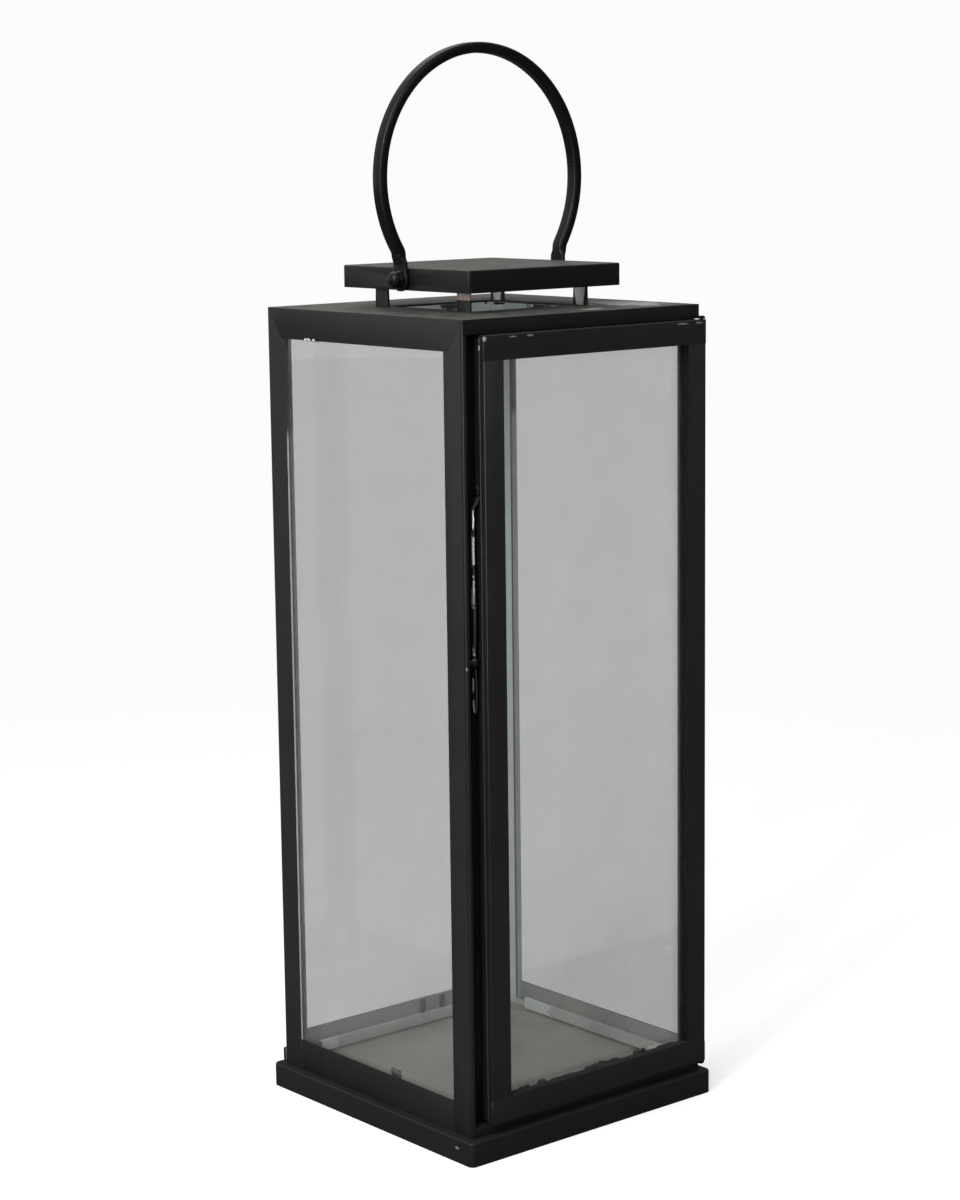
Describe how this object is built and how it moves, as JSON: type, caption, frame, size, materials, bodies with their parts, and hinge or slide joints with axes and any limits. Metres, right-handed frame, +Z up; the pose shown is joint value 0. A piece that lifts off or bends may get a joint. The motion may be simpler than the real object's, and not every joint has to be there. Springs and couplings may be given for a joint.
{
  "type": "candle lantern",
  "caption": "Tall square glazed metal candle lantern with a stepped base tray, side-hinged glass door, raised vent cap and omega-shaped carrying handle.",
  "frame": {"origin": "centre of the base tray's underside", "axes": "+Z up, door on the -Y side with its hinge at the +X edge"},
  "size_m": [0.2, 0.2, 0.6607],
  "materials": {
    "black_painted_steel": "satin black paint",
    "galvanised_steel": "bare galvanised sheet",
    "spring_steel": "bright worn spring steel",
    "clear_glass": "clear float glass"
  },
  "bodies": {
    "lantern": {"base_plinth": "black_painted_steel", "floor_plate": "galvanised_steel", "front_left_post": "black_painted_steel", "front_right_post": "black_painted_steel", "rear_left_post": "black_painted_steel", "rear_right_post": "black_painted_steel", "front_top_rail": "black_painted_steel", "front_bottom_rail": "black_painted_steel", "left_top_rail": "black_painted_steel", "left_bottom_rail": "black_painted_steel", "right_top_rail": "black_painted_steel", "right_bottom_rail": "black_painted_steel", "rear_top_rail": "black_painted_steel", "rear_bottom_rail": "black_painted_steel", "top_plate": "black_painted_steel", "left_pane": "clear_glass", "right_pane": "clear_glass", "rear_pane": "clear_glass", "left_pane_retainer": "galvanised_steel", "right_pane_retainer": "galvanised_steel", "rear_pane_retainer": "galvanised_steel", "left_pane_clips": "black_painted_steel", "right_pane_clips": "black_painted_steel", "rear_pane_clips": "black_painted_steel", "cap_leg_front_left": "black_painted_steel", "cap_leg_front_right": "black_painted_steel", "cap_leg_rear_left": "black_painted_steel", "cap_leg_rear_right": "black_painted_steel", "cap": "black_painted_steel", "pivot_bolts": "black_painted_steel", "pivot_washers": "black_painted_steel", "pivot_nuts": "black_painted_steel", "upper_hinge_ear": "black_painted_steel", "lower_hinge_ear": "black_painted_steel", "upper_hinge_pin": "black_painted_steel", "lower_hinge_pin": "black_painted_steel"},
    "door": {"door_top_rail": "black_painted_steel", "door_bottom_rail": "black_painted_steel", "door_latch_stile": "black_painted_steel", "door_hinge_stile": "black_painted_steel", "door_glass": "clear_glass", "door_glass_clips": "black_painted_steel", "catch_rivet": "black_painted_steel"},
    "catch": {"catch_spring": "spring_steel", "catch_knob": "black_painted_steel"},
    "handle": {"handle": "black_painted_steel"}
  },
  "joints": [
    {"name": "door_hinge", "type": "hinge", "parent": "lantern", "child": "door", "pos_m": [0.094, -0.0963, 0.25], "axis": [0, 0, 1], "range_deg": [0, 120]},
    {"name": "catch_flex", "type": "hinge", "parent": "door", "child": "catch", "pos_m": [-0.0815, -0.0904, 0.398], "axis": [0, -1, 0], "range_deg": [0, 1.3], "stiffness_Nm_per_rad": 2},
    {"name": "handle_pivot", "type": "hinge", "parent": "lantern", "child": "handle", "pos_m": [0, 0, 0.5205], "axis": [1, 0, 0], "range_deg": [-98, 98]}
  ]
}
